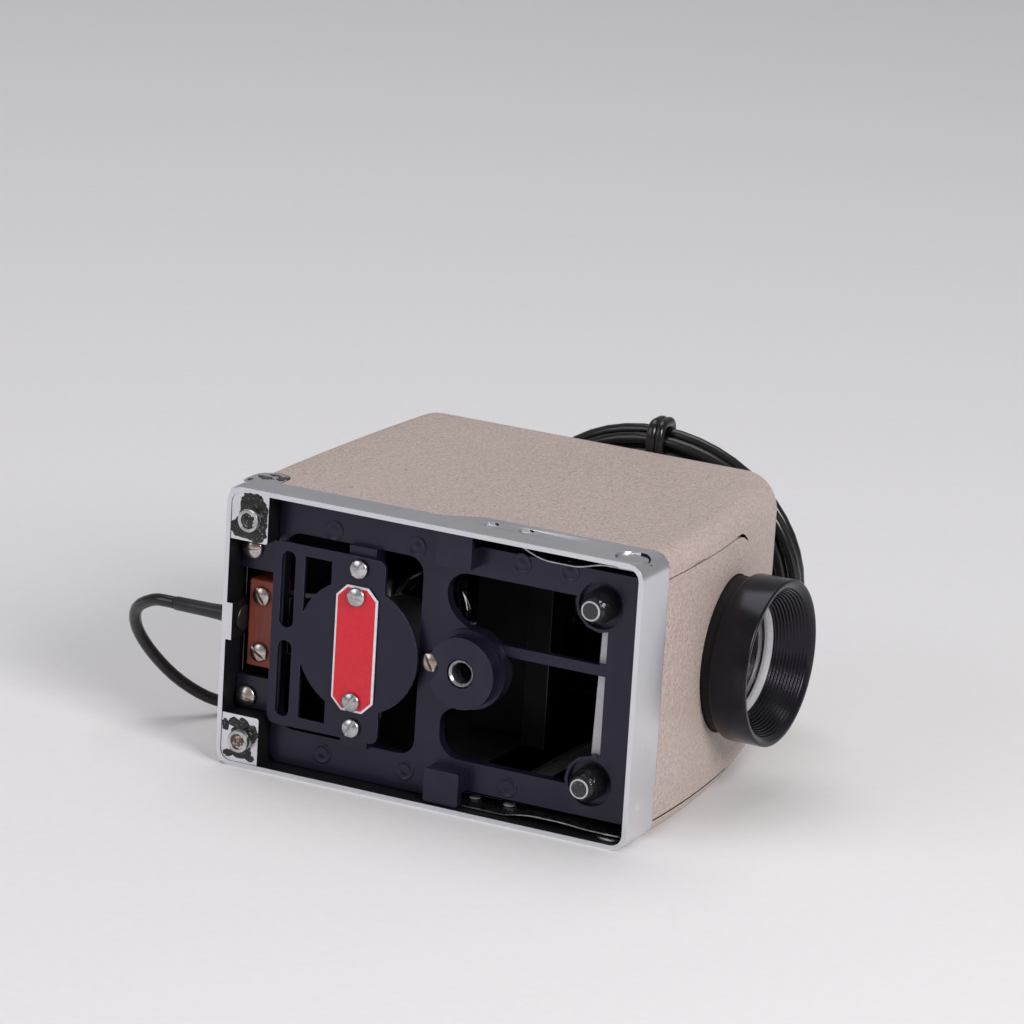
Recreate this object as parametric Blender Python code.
"""A compact slide projector for 35 mm slides, lying on its side.

The base frame's open underside faces -Y, the lens looks along +X, and the side that the
projector lies on is at Z = 0. Sizes below are taken from the rear lower corner of the base
frame: X runs to the front, Y runs from the underside to the top, and Z runs up.
The empties carry all of it to the model's origin, at the middle of its footprint
without the free cord.
"""

import math

import bmesh
import bpy
import numpy as np
from mathutils import Vector
from mathutils.geometry import tessellate_polygon

MM = 0.001

# Clearances and overruns
SEAT_GAP = 0.3 * MM
RUNNING_GAP = 0.35 * MM
CUT_OVERRUN = 4.0 * MM

# Fineness of round shapes
CORNER_STEPS = 4
SMALL_SEGMENTS = 12
LENS_SEGMENTS = 32
GLASS_SEGMENTS = 24
SMOOTH_BELOW = math.radians(32)
RIGHT_ANGLE = 90

# Overall sizes
BASE_LENGTH = 127.0 * MM
BODY_WIDTH = 80.0 * MM
BODY_HEIGHT = 116.7 * MM
MIDDLE = BODY_WIDTH / 2

# Places along the base, as shares of its length from the rear
BAND_STEP_SHARE = 0.4803
LAMP_SHARE = 0.326
GATE_SHARE = 0.6008
POST_SHARE = 0.882
GATE_OPENING_SHARE = 0.9024

# Sizes across the base, as shares of its width
PAD_SHARE = 0.1875
LUG_SHARE = 0.12

# Base frame, the bright band round the underside
BASE_CORNER_RADIUS = 4.6 * MM
BAND_WALL = 1.4 * MM
BAND_REAR_HEIGHT = 10.4 * MM
BAND_FRONT_HEIGHT = 16.0 * MM
BAND_STEP_START = BASE_LENGTH * BAND_STEP_SHARE
BAND_STEP_RUN = 10.0 * MM
PAD_LENGTH = 13.0 * MM
PAD_WIDTH = BODY_WIDTH * PAD_SHARE
PAD_RECESS = 0.3 * MM
PAD_DEPTH = 9.8 * MM
PAD_CORNER_RADIUS = 2.6 * MM
LUG_LENGTH = 9.4 * MM
LUG_WIDTH = BODY_WIDTH * LUG_SHARE
LUG_FACE = 8.5 * MM
LUG_DEPTH = 10.2 * MM
EAR_LENGTH = 10.2 * MM
EAR_HEIGHT = 19.2 * MM
EAR_THICKNESS = 2.2 * MM
EAR_INSET = 0.2 * MM
EAR_CORNER_RADIUS = 4.6 * MM
EAR_BOSS_RADIUS = 1.8 * MM
EAR_BOSS_LENGTH = 2.9 * MM
EAR_BOSS_X = 5.2 * MM
EAR_BOSS_Y = 14.6 * MM
CORD_LIP_WIDTH = 10.6 * MM
CORD_LIP_DEPTH = 9.4 * MM
CORD_LIP_THICKNESS = 1.8 * MM

# Housing, one pressed shell
SHELL_WALL = 1.2 * MM
SHELL_INSET = 0.15 * MM
REAR_OVERHANG = 1.9 * MM
FRONT_BULGE = 1.6 * MM
FRONT_FALL = 13.8 * MM
SHELL_LOWER_RADIUS = 4.6 * MM
SHELL_UPPER_RADIUS = 11.4 * MM
SHELL_TOP_RADIUS = 10.3 * MM
SHELL_SEAM_GAP = 0.4 * MM
SHELL_SECTIONS = 9
TOP_SECTIONS = 5
UPPER_SEAM_INSET = 7.3 * MM
LOWER_SEAM_INSET = 4.8 * MM
SEAM_WIDTH = 0.55 * MM
SEAM_END = 66.5 * MM
SEAM_EYE_RADIUS = 1.0 * MM
SEAM_GAPE_START = 30.0 * MM
SEAM_GAPE_END = 40.0 * MM
SEAM_GAPE_WIDTH = 0.95 * MM
EAR_NOTCH_GAP = 0.5 * MM
VENT_SLOT_WIDTH = 2.8 * MM
VENT_SLOT_LENGTH = 38.0 * MM
VENT_SLOT_PITCH = 6.2 * MM
VENT_SLOT_COUNT = 6
SLIDE_SLOT_WIDTH = 6.8 * MM
SLIDE_SLOT_HEIGHT = 53.0 * MM

# Optical axis and the lens in the front wall
AXIS_Y = 64.1 * MM
BARREL_RADIUS = 23.46 * MM
BARREL_REACH = 13.5 * MM
BARREL_LENGTH = 40.5 * MM
BARREL_FRONT = BASE_LENGTH + BARREL_REACH
BARREL_REAR = BARREL_FRONT - BARREL_LENGTH
BARREL_EDGE = 0.5 * MM
BARREL_RING_LENGTH = 11.0 * MM
BARREL_RING_REAR = BARREL_FRONT - BARREL_RING_LENGTH
BARREL_NECK_STEP = 1.6 * MM
BARREL_NECK_RADIUS = BARREL_RADIUS - BARREL_NECK_STEP
HOOD_DEPTH = 9.5 * MM
HOOD_REAR = BARREL_FRONT - HOOD_DEPTH
HOOD_REAR_RADIUS = 16.1 * MM
HOOD_FRONT_RADIUS = 22.3 * MM
HOOD_LIP = 0.9 * MM
HOOD_STEPS = 8
TUBE_RADIUS = 18.6 * MM
TUBE_REAR = BARREL_REAR + 2 * BARREL_EDGE
TUBE_FRONT = HOOD_REAR - 2 * SEAT_GAP
SLEEVE_WALL = 1.8 * MM
SLEEVE_OVERLAP = 3.5 * MM
SLEEVE_REAR = BARREL_REAR - SLEEVE_OVERLAP
GLASS_RADIUS = 15.7 * MM
GLASS_THICKNESS = 6.0 * MM
GLASS_BULGE = 2.6 * MM
REAR_GLASS_RADIUS = 14.0 * MM
REAR_GLASS_THICKNESS = 5.0 * MM
GLASS_SHELF = 1.4 * MM

# Deck, the black casting inside the frame
DECK_FACE = 6.5 * MM
DECK_DEPTH = 9.6 * MM
DECK_REAR = PAD_LENGTH + SEAT_GAP
DECK_CORNER_RADIUS = 3.0 * MM
ARM_FACE = 7.0 * MM
ARM_DEPTH = 8.2 * MM
LAMP_OPENING_MARGIN = 2.3 * MM
LAMP_OPENING_INSET = 11.8 * MM
LAMP_OPENING_REAR = DECK_REAR + LAMP_OPENING_MARGIN
LAMP_OPENING_HALF = MIDDLE - LAMP_OPENING_INSET
LAMP_OPENING_RADIUS = 4.6 * MM
LAMP_X = BASE_LENGTH * LAMP_SHARE
PLATE_INSET = 13.9 * MM
PLATE_HALF = MIDDLE - PLATE_INSET
DISC_SHARE = 0.7
DISC_RADIUS = PLATE_HALF * DISC_SHARE
BOSS_RADIUS = 10.1 * MM
BOSS_SPACING = 4.5 * MM
BOSS_X = LAMP_X + DISC_RADIUS + BOSS_SPACING + BOSS_RADIUS
BOSS_FACE = 0.4 * MM
BOSS_SHOULDER_RADIUS = 11.2 * MM
BOSS_SHOULDER_FACE = 5.2 * MM
BOSS_BORE_RADIUS = 4.2 * MM
GUSSET_ANGLE = 60
GUSSET_STEPS = 6
UPPER_GUSSET_REACH = 21.0 * MM
LOWER_GUSSET_REACH = 16.5 * MM
BUSH_RADIUS = 3.9 * MM
BUSH_BORE_RADIUS = 3.1 * MM
BUSH_CHAMFER = 0.5 * MM
POCKET_SETBACK = 11.5 * MM
POCKET_X = BOSS_X - POCKET_SETBACK
POCKET_RADIUS = 4.7 * MM
POCKET_DEPTH = 5.4 * MM
WEB_WIDTH = 7.5 * MM
WEB_SETBACK = 8.4 * MM
GATE_OPENING_REAR = BOSS_X - WEB_SETBACK
LAMP_OPENING_FRONT = GATE_OPENING_REAR - WEB_WIDTH
GATE_OPENING_FRONT = BASE_LENGTH * GATE_OPENING_SHARE
GATE_OPENING_INSET = 13.6 * MM
GATE_OPENING_HALF = MIDDLE - GATE_OPENING_INSET
GATE_OPENING_RADIUS = 6.0 * MM
RIB_WIDTH = 3.0 * MM
RIB_OFFSET = 6.6 * MM
RIB_MIDDLE = MIDDLE + RIB_OFFSET
RIB_FACE = 7.6 * MM
BLOCK_LENGTH = 10.6 * MM
BLOCK_SETBACK = 1.3 * MM
BLOCK_REAR = GATE_OPENING_REAR - BLOCK_SETBACK
BLOCK_FRONT = BLOCK_REAR + BLOCK_LENGTH
BLOCK_WIDTH = 9.6 * MM
BLOCK_FACE = 1.3 * MM
TAB_HALF_WIDTH = 4.2 * MM
TAB_REACH = 9.0 * MM
POST_X = BASE_LENGTH * POST_SHARE
POST_INSET = 15.1 * MM
POST_OFFSET = MIDDLE - POST_INSET
POST_PAD_RADIUS = 7.6 * MM
POST_RADIUS = 5.0 * MM
POST_TOP_RADIUS = 3.1 * MM
POST_ROUND = 2.2 * MM
POST_RECESS_RADIUS = 6.6 * MM
POST_RECESS_DEPTH = 2.3 * MM
POST_SEAT = DECK_FACE + POST_RECESS_DEPTH

# Ventilated lamp plate
PLATE_FACE = 3.0 * MM
PLATE_THICKNESS = 1.2 * MM
PLATE_REAR = DECK_REAR + 2 * SEAT_GAP
PLATE_SHOULDER = 7.2 * MM
PLATE_FRONT = LAMP_X + PLATE_SHOULDER
PLATE_CORNER_RADIUS = 2.4 * MM
DISC_STEPS = 18
SLOT_MARGIN = 2.4 * MM
SLOT_REAR = PLATE_REAR + SLOT_MARGIN
SLOT_WIDTH = 4.4 * MM
SLOT_INNER = 1.8 * MM
SLOT_OUTER = PLATE_HALF - SLOT_MARGIN
WINDOW_SPACING = 2.9 * MM
WINDOW_REAR = SLOT_REAR + SLOT_WIDTH + WINDOW_SPACING
WINDOW_SETBACK = 9.4 * MM
WINDOW_FRONT = LAMP_X - WINDOW_SETBACK
WINDOW_OUTER = PLATE_HALF - WINDOW_SPACING
WINDOW_RIM = 0.9 * MM
WINDOW_RIM_RADIUS = DISC_RADIUS + WINDOW_RIM
WINDOW_STEPS = 6

# Red plate on the lamp plate
PLATE_SCREW_EDGE = 3.4 * MM
PLATE_SCREW_OFFSET = PLATE_HALF - PLATE_SCREW_EDGE
LABEL_SCREW_SPACING = 7.7 * MM
LABEL_SCREW_OFFSET = PLATE_SCREW_OFFSET - LABEL_SCREW_SPACING
LABEL_FACE = 2.2 * MM
LABEL_THICKNESS = 0.5 * MM
LABEL_SETBACK = 0.8 * MM
LABEL_MIDDLE_X = LAMP_X - LABEL_SETBACK
LABEL_END = 2.9 * MM
LABEL_LENGTH = 2 * (LABEL_SCREW_OFFSET + LABEL_END)
LABEL_WIDTH = 12.9 * MM
LABEL_CHAMFER = 3.2 * MM
PLATE_SCREW_X = LABEL_MIDDLE_X

# Slotted screws, each with a domed head
SCREW_HEAD_RADIUS = 2.7 * MM
SCREW_HEAD_HEIGHT = 1.5 * MM
SCREW_SHANK_RADIUS = 1.2 * MM
SCREW_HOLE_RADIUS = 1.6 * MM
SCREW_SLOT_WIDTH = 0.7 * MM
SCREW_SLOT_DEPTH = 0.8 * MM
HEAD_EDGE_SHARE = 0.45
BIG_SCREW_HEAD_RADIUS = 3.05 * MM
BIG_SCREW_HEAD_HEIGHT = 1.9 * MM
CHASSIS_SCREW_X = 5.1 * MM
CHASSIS_SCREW_SPACING = 3.6 * MM
CHASSIS_SCREW_OFFSET = MIDDLE - PAD_WIDTH - CHASSIS_SCREW_SPACING
CHASSIS_SCREW_HOLE_RADIUS = 1.6 * MM

# Terminal block
TERMINAL_REAR = 4.4 * MM
TERMINAL_FACE = 7.0 * MM
TERMINAL_DEPTH = 15.0 * MM
TERMINAL_SPACING = 3.0 * MM
TERMINAL_LENGTH = 2 * (MIDDLE - PAD_WIDTH - LUG_WIDTH - TERMINAL_SPACING)
TERMINAL_BEVEL = 0.4 * MM
TERMINAL_SCREW_X = 8.6 * MM
TERMINAL_SCREW_EDGE = 4.3 * MM
TERMINAL_SCREW_OFFSET = TERMINAL_LENGTH / 2 - TERMINAL_SCREW_EDGE
TERMINAL_SCREW_LENGTH = 5.0 * MM

# Latches: button, leaf spring, rivets and catch, one set on each side
BUTTON_SETBACK = 6.8 * MM
BUTTON_X = BASE_LENGTH - BUTTON_SETBACK
BUTTON_Y = 7.0 * MM
BUTTON_RADIUS = 4.5 * MM
BUTTON_DOME = 0.5 * MM
BUTTON_RECESS = 0.15 * MM
BUTTON_FLANGE_RADIUS = 5.3 * MM
BUTTON_FLANGE_THICKNESS = 0.6 * MM
BUTTON_TRAVEL = 2.0 * MM
LEAF_OVERLAP = 2.2 * MM
LEAF_REAR = BLOCK_FRONT - LEAF_OVERLAP
LEAF_TIP = 3.8 * MM
LEAF_FRONT = BUTTON_X + LEAF_TIP
LEAF_WIDTH = 9.4 * MM
LEAF_THICKNESS = 0.5 * MM
LEAF_Y = 8.3 * MM
LEAF_BOW = 3.2 * MM
LEAF_BOW_SETBACK = 16.2 * MM
LEAF_BOW_X = BUTTON_X - LEAF_BOW_SETBACK
LEAF_STEPS = 16
RIVET_END = 2.9 * MM
RIVET_SPACING = 10.6 * MM
RIVET_SITES_X = (LEAF_REAR + RIVET_END, LEAF_REAR + RIVET_END + RIVET_SPACING)
RIVET_Y = 10.8 * MM
RIVET_HEAD_RADIUS = 1.75 * MM
RIVET_HEAD_HEIGHT = 0.5 * MM
RIVET_SHANK_RADIUS = 1.0 * MM
RIVET_SUNK = 0.1 * MM
CATCH_SETBACK = 7.2 * MM
CATCH_WIDTH = 9.5 * MM
CATCH_REAR = BUTTON_X - CATCH_SETBACK
CATCH_FRONT = CATCH_REAR + CATCH_WIDTH
CATCH_LOW = 13.4 * MM
CATCH_HIGH = 26.0 * MM
CATCH_THICKNESS = 1.0 * MM

# Feet whose rubbers are gone
STUD_X = 8.3 * MM
STUD_OFFSET = MIDDLE - STUD_X
STUD_RADIUS = 2.8 * MM
STUD_REACH = 2.9 * MM
STUD_STEM_RADIUS = 1.3 * MM
STUD_STEM_HOLE_RADIUS = 1.6 * MM
STUD_STEM_LENGTH = 6.0 * MM

# Rear hooks of the housing
HOOK_THICKNESS = 1.2 * MM
HOOK_LOW = 11.0 * MM
HOOK_HIGH = 27.0 * MM
HOOK_FRONT = 9.6 * MM
HOOK_REACH = 1.1 * MM

# Inner parts on the deck
GATE_REAR = BASE_LENGTH * GATE_SHARE
CHEEK_REAR = DECK_REAR + 2 * SEAT_GAP
CHEEK_FRONT = GATE_REAR - SEAT_GAP
CHEEK_TOP_GAP = 20.7 * MM
CHEEK_HEIGHT = BODY_HEIGHT - CHEEK_TOP_GAP
CHEEK_THICKNESS = 1.0 * MM
CHEEK_INSET = 10.6 * MM
CHEEK_HALF = MIDDLE - CHEEK_INSET
CHEEK_VENT_RADIUS = 2.6 * MM
CHEEK_VENT_PITCH = 9.0 * MM
CHEEK_VENT_COUNT = 4
CHEEK_VENT_DROP = 12.0 * MM
CHEEK_VENT_Y = CHEEK_HEIGHT - CHEEK_VENT_DROP
SOCKET_FLANGE_END = 4.0 * MM
SOCKET_FLANGE_LENGTH = 2 * (LABEL_SCREW_OFFSET + SOCKET_FLANGE_END)
SOCKET_FLANGE_WIDTH = 15.0 * MM
SOCKET_FLANGE_THICKNESS = 1.5 * MM
SOCKET_RADIUS = 9.2 * MM
SOCKET_TOP = 30.0 * MM
SOCKET_BORE_RADIUS = 7.6 * MM
SOCKET_FLOOR = 12.0 * MM
CAP_RADIUS = 7.25 * MM
CAP_TOP = 33.0 * MM
BULB_RADIUS = 12.4 * MM
BULB_NECK_RADIUS = 7.4 * MM
BULB_SHOULDER = 41.0 * MM
BULB_TOP = 90.0 * MM
BRACKET_WIDTH = 16.0 * MM
BRACKET_THICKNESS = 1.2 * MM
REFLECTOR_RADIUS = 19.0 * MM
REFLECTOR_WALL = 1.0 * MM
REFLECTOR_REAR = CHEEK_REAR + BRACKET_THICKNESS + 3 * SEAT_GAP
REFLECTOR_DEPTH_SHARE = 0.5
REFLECTOR_ROOM = LAMP_X - BULB_RADIUS - REFLECTOR_WALL - REFLECTOR_REAR
REFLECTOR_DEPTH = REFLECTOR_ROOM * REFLECTOR_DEPTH_SHARE
CONDENSER_INSET = 20.0 * MM
CONDENSER_RADIUS = MIDDLE - CONDENSER_INSET
LAMP_SPACING = 3.7 * MM
CONDENSER_FRAME_REAR = LAMP_X + BULB_RADIUS + LAMP_SPACING
CONDENSER_FRAME_SPACING = 1.8 * MM
CONDENSER_FRAME_FRONT = GATE_REAR - CONDENSER_FRAME_SPACING
CONDENSER_FRAME_WALL = 2.2 * MM
CONDENSER_DEPTH = CONDENSER_FRAME_FRONT - CONDENSER_FRAME_REAR
HEAT_GLASS_SHARE = 0.12
CONDENSER_THICKNESS_SHARE = 0.32
CONDENSER_EDGE_SHARE = 0.09
HEAT_GLASS_THICKNESS = CONDENSER_DEPTH * HEAT_GLASS_SHARE
CONDENSER_THICKNESS = CONDENSER_DEPTH * CONDENSER_THICKNESS_SHARE
CONDENSER_EDGE = CONDENSER_DEPTH * CONDENSER_EDGE_SHARE
HEAT_GLASS_REAR = CONDENSER_FRAME_REAR + 3 * SEAT_GAP
GATE_DEPTH = 7.2 * MM
GATE_WALL = 1.3 * MM
GATE_INSET = 11.0 * MM
GATE_HALF_WIDTH = MIDDLE - GATE_INSET
SLIDE_SIZE = 50.8 * MM
SLIDE_PLAY = 0.6 * MM
GATE_RAIL = 2.2 * MM
GATE_WINDOW = 38.0 * MM
STRIP_WIDTH = 8.8 * MM
STRIP_REAR = POST_X + SEAT_GAP
STRIP_FRONT = STRIP_REAR + STRIP_WIDTH
STRIP_INSET = 15.5 * MM
STRIP_HALF = MIDDLE - STRIP_INSET
STRIP_THICKNESS = 0.8 * MM
STRIP_TURN_UP = 9.0 * MM

# Cord, its gland, coil, tie and plug
CORD_RADIUS = 1.75 * MM
GLAND_Y = 5.9 * MM
GLAND_OFFSET = 1.3 * MM
GLAND_Z = MIDDLE + GLAND_OFFSET
GLAND_FLANGE_RADIUS = 3.7 * MM
GLAND_FLANGE_THICKNESS = 1.2 * MM
GLAND_BODY_RADIUS = 2.9 * MM
GLAND_NOSE_RADIUS = 2.15 * MM
GLAND_NOSE_LENGTH = 17.0 * MM
GLAND_TAIL_LENGTH = 0.8 * MM
GLAND_END = -GLAND_FLANGE_THICKNESS - GLAND_NOSE_LENGTH
COIL_X = 72.5 * MM
COIL_HALF_LENGTH = 45.6 * MM
COIL_HALF_HEIGHT = 40.7 * MM
COIL_FOOT_Y = 131.0 * MM
COIL_LEAN = math.radians(8.2)
COIL_PITCH = 4.0 * MM
COIL_LAYER_STEP = 4.05 * MM
COIL_LOOP_COUNT = 6.75
COIL_LOOP_POINTS = 24
COIL_FLOOR_GAP = 0.1 * MM
TIE_WIDTH = 8.0 * MM
TIE_THICKNESS = 1.3 * MM
PLUG_X = 58.0 * MM
PLUG_Y = 147.5 * MM
PLUG_LENGTH = 25.0 * MM
PLUG_RADIUS = 8.6 * MM
PLUG_SHOULDER_SHARE = 0.8
PLUG_WAIST_SHARE = 0.74
PLUG_NECK_RADIUS = 3.2 * MM
PLUG_NECK_LENGTH = 9.0 * MM
PLUG_AXIS_Z = 8.8 * MM
BLADE_LENGTH = 16.0 * MM
BLADE_HEIGHT = 6.3 * MM
BLADE_THICKNESS = 1.5 * MM
BLADE_SPACING = 12.7 * MM / 2

# Route of the cord's free lead, from the gland round the rear to the coil
LEAD_ROUTE = (
    (-26.0 * MM, 6.6 * MM, 40.6 * MM),
    (-33.0 * MM, 10.0 * MM, 36.2 * MM),
    (-36.0 * MM, 15.5 * MM, 28.6 * MM),
    (-34.0 * MM, 22.0 * MM, 19.4 * MM),
    (-28.5 * MM, 29.0 * MM, 10.6 * MM),
    (-21.5 * MM, 37.0 * MM, 4.4 * MM),
    (-15.5 * MM, 48.0 * MM, 1.95 * MM),
    (-11.5 * MM, 64.0 * MM, 1.9 * MM),
    (-9.0 * MM, 84.0 * MM, 1.9 * MM),
    (-5.5 * MM, 102.0 * MM, 1.9 * MM),
    (2.5 * MM, 117.0 * MM, 1.9 * MM),
    (17.0 * MM, 126.5 * MM, 1.9 * MM),
    (36.0 * MM, 130.2 * MM, 1.9 * MM),
)
# Route of the cord's tail, from the coil down to the plug
TAIL_ROUTE = (
    (25.8 * MM, 131.8 * MM, 27.0 * MM),
    (25.2 * MM, 136.2 * MM, 15.6 * MM),
    (28.6 * MM, 142.4 * MM, 7.4 * MM),
)
LEAD_STEP = 9.0 * MM
TAIL_STEP = 5.0 * MM

SIDES = (("upper", 1.0), ("lower", -1.0))


# Scene and materials


def clear_scene():
    for thing in list(bpy.data.objects):
        bpy.data.objects.remove(thing, do_unlink=True)


def material(name, colour, roughness, metallic=0.0, transmission=0.0):
    made = bpy.data.materials.new(name)
    made.use_nodes = True
    shader = made.node_tree.nodes["Principled BSDF"]
    shader.inputs["Base Color"].default_value = (*colour, 1.0)
    shader.inputs["Roughness"].default_value = roughness
    shader.inputs["Metallic"].default_value = metallic
    shader.inputs["Transmission Weight"].default_value = transmission
    made.diffuse_color = (*colour, 1.0)
    return made


def make_materials():
    return {
        "paint": material("tan_crinkle_paint", (0.52, 0.42, 0.34), 0.55, 0.1),
        "bright": material("polished_aluminium", (0.86, 0.86, 0.88), 0.22, 1.0),
        "casting": material("satin_black_casting", (0.035, 0.035, 0.045), 0.42),
        "sheet": material("blackened_sheet", (0.02, 0.02, 0.024), 0.5, 0.3),
        "nickel": material("nickel_plate", (0.72, 0.69, 0.65), 0.25, 1.0),
        "steel": material("spring_steel", (0.55, 0.56, 0.58), 0.3, 1.0),
        "label": material("red_enamel", (0.62, 0.02, 0.03), 0.3),
        "fibre": material("red_brown_fibre", (0.33, 0.07, 0.045), 0.6),
        "anodised": material("black_anodised", (0.012, 0.012, 0.016), 0.25, 0.4),
        "glass": material("lens_glass", (0.92, 0.94, 0.97), 0.03, 0.0, 0.9),
        "mirror": material("silvered_metal", (0.9, 0.9, 0.9), 0.08, 1.0),
        "ceramic": material("socket_ceramic", (0.75, 0.73, 0.68), 0.6),
        "rubber": material("black_rubber", (0.015, 0.015, 0.017), 0.45),
        "brass": material("brass", (0.75, 0.58, 0.3), 0.3, 1.0),
    }


# Housing surfaces


def height_share(y):
    return (y - BAND_FRONT_HEIGHT) / (BODY_HEIGHT - BAND_FRONT_HEIGHT)


def front_x(y):
    """The outer front wall leans back in a parabola from the band to the top."""
    share = height_share(y)
    return BASE_LENGTH + FRONT_BULGE * share - FRONT_FALL * share**2


def rear_x(y):
    return -REAR_OVERHANG * max(height_share(y), 0)


def corner_radius(y):
    share = max(height_share(y), 0)
    return SHELL_LOWER_RADIUS + (SHELL_UPPER_RADIUS - SHELL_LOWER_RADIUS) * share**2


# Where the model's origin lies, from the corner of the base frame: midway from the cord's
# gland to the barrel, and midway from the rear feet to the top
ORIGIN_X = (BARREL_FRONT + GLAND_END) / 2
ORIGIN_Y = (BODY_HEIGHT - STUD_REACH) / 2


# Bodies: one empty for each piece that moves, on its own axis


class Body:
    """An empty that carries pieces; anchor is its place from the base frame's corner."""

    def __init__(self, name, anchor, parent=None):
        self.anchor = Vector(anchor)
        self.empty = bpy.data.objects.new(name, None)
        self.empty.empty_display_size = BODY_WIDTH / 4
        bpy.context.collection.objects.link(self.empty)
        if parent is None:
            self.empty.location = self.anchor - Vector((ORIGIN_X, ORIGIN_Y, 0))
        else:
            self.empty.parent = parent.empty
            self.empty.location = self.anchor - parent.anchor


def add_piece(name, shape, finish, body):
    """Makes an object of (points, faces), hung on its body's empty."""
    points, faces = shape
    mesh = bpy.data.meshes.new(name)
    mesh.from_pydata([Vector(point) - body.anchor for point in points], [], faces)
    shaped = bmesh.new()
    shaped.from_mesh(mesh)
    bmesh.ops.recalc_face_normals(shaped, faces=shaped.faces)
    shaped.to_mesh(mesh)
    shaped.free()
    mesh.shade_smooth()
    mesh.set_sharp_from_angle(angle=SMOOTH_BELOW)
    piece = bpy.data.objects.new(name, mesh)
    bpy.context.collection.objects.link(piece)
    piece.parent = body.empty
    if finish is not None:
        mesh.materials.append(finish)
    return piece


def add_cutter(name, shape, body):
    cutter = add_piece(name, shape, None, body)
    cutter.hide_render = True
    cutter.display_type = "WIRE"
    return cutter


def combine(piece, other, operation):
    step = piece.modifiers.new(other.name, "BOOLEAN")
    step.operation = operation
    step.object = other
    step.solver = "EXACT"


def cut(piece, name, shape, body):
    combine(piece, add_cutter(name, shape, body), "DIFFERENCE")


def add_to(piece, name, shape, body):
    combine(piece, add_cutter(name, shape, body), "UNION")


# Outlines, as lists of points in a plane


def arc(centre, radius, start, end, steps):
    angles = np.radians(np.linspace(start, end, steps + 1))
    return [
        (centre[0] + radius * math.cos(turn), centre[1] + radius * math.sin(turn))
        for turn in angles
    ]


def circle(centre, radius, segments=SMALL_SEGMENTS):
    return arc(centre, radius, 0, 360, segments)[:-1]


def rounded_rectangle(low, high, radius, steps=CORNER_STEPS):
    """The outline from corner low to corner high, with round corners."""
    outline = []
    corners = (
        (high[0] - radius, high[1] - radius),
        (low[0] + radius, high[1] - radius),
        (low[0] + radius, low[1] + radius),
        (high[0] - radius, low[1] + radius),
    )
    for number, centre in enumerate(corners):
        start = number * RIGHT_ANGLE
        outline += arc(centre, radius, start, start + RIGHT_ANGLE, steps)
    return outline


def rectangle(low, high):
    return [low, (high[0], low[1]), high, (low[0], high[1])]


# Solids


def place(axis, u, v, along):
    """A point with u and v in a plane and along on its axis, in the order X, Y, Z."""
    if axis == "X":
        return (along, u, v)
    if axis == "Y":
        return (u, along, v)
    return (u, v, along)


def prism(outline, axis, low, high, holes=()):
    """An outline with holes, drawn out along an axis from low to high."""
    loops = [list(outline)] + [list(hole) for hole in holes]
    flat = [point for loop in loops for point in loop]
    count = len(flat)
    points = [place(axis, u, v, low) for u, v in flat]
    points += [place(axis, u, v, high) for u, v in flat]
    plane = [[Vector((u, v, 0)) for u, v in loop] for loop in loops]
    ends = tessellate_polygon(plane) if holes else [range(count)]
    faces = []
    for end in ends:
        faces.append(tuple(end))
        faces.append(tuple(i + count for i in reversed(end)))
    start = 0
    for loop in loops:
        size = len(loop)
        for i in range(size):
            here, after = start + i, start + (i + 1) % size
            faces.append((here, after, after + count, here + count))
        start += size
    return points, faces


def box(low, high):
    return prism(rectangle(low[:2], high[:2]), "Z", low[2], high[2])


def lathe(profile, axis, centre, segments=SMALL_SEGMENTS):
    """Turns a closed profile of (along, radius) about an axis through centre in its plane."""
    turns = np.radians(np.arange(segments) * 360 / segments)
    points, rings = [], []
    for along, radius in profile:
        if radius == 0:
            rings.append([len(points)] * segments)
            points.append(place(axis, centre[0], centre[1], along))
            continue
        rings.append(list(range(len(points), len(points) + segments)))
        for turn in turns:
            u = centre[0] + radius * math.cos(turn)
            v = centre[1] + radius * math.sin(turn)
            points.append(place(axis, u, v, along))
    faces = []
    for ring, following in zip(rings, rings[1:] + rings[:1]):
        for i in range(segments):
            j = (i + 1) % segments
            face = list(dict.fromkeys((ring[i], ring[j], following[j], following[i])))
            if len(face) > 2:
                faces.append(face)
    return points, faces


def cylinder(axis, centre, radius, low, high, segments=SMALL_SEGMENTS):
    return prism(circle(centre, radius, segments), axis, low, high)


def cap_profile(start, end, radius, rise, steps=3):
    """Profile points of a dome: radius at start, nothing at end, with an upright edge."""
    edge = start + (end - start) * (1 - rise)
    points = [(start, radius)]
    for turn in np.radians(np.linspace(0, 90, steps + 1)):
        along = edge + (end - edge) * math.sin(turn)
        points.append((along, radius * math.cos(turn) if turn < math.pi / 2 else 0))
    return points


def along_curve(knots, step):
    """Points a step apart on a smooth curve through the knots."""
    knots = np.array(knots)
    chord = np.linalg.norm(np.diff(knots, axis=0), axis=1)
    ends = np.vstack([2 * knots[0] - knots[1], knots, 2 * knots[-1] - knots[-2]])
    points = []
    for i, length in enumerate(chord):
        p0, p1, p2, p3 = ends[i : i + 4]
        count = max(2, round(length / step))
        for t in np.arange(count) / count:
            blend = (
                2 * p1
                + (p2 - p0) * t
                + (2 * p0 - 5 * p1 + 4 * p2 - p3) * t**2
                + (3 * p1 - p0 - 3 * p2 + p3) * t**3
            )
            points.append(blend / 2)
    points.append(knots[-1])
    return [tuple(point) for point in points]


def kept_above(points, level):
    """The same points, none of them lower than level."""
    return [(x, y, max(z, level)) for x, y, z in points]


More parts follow.
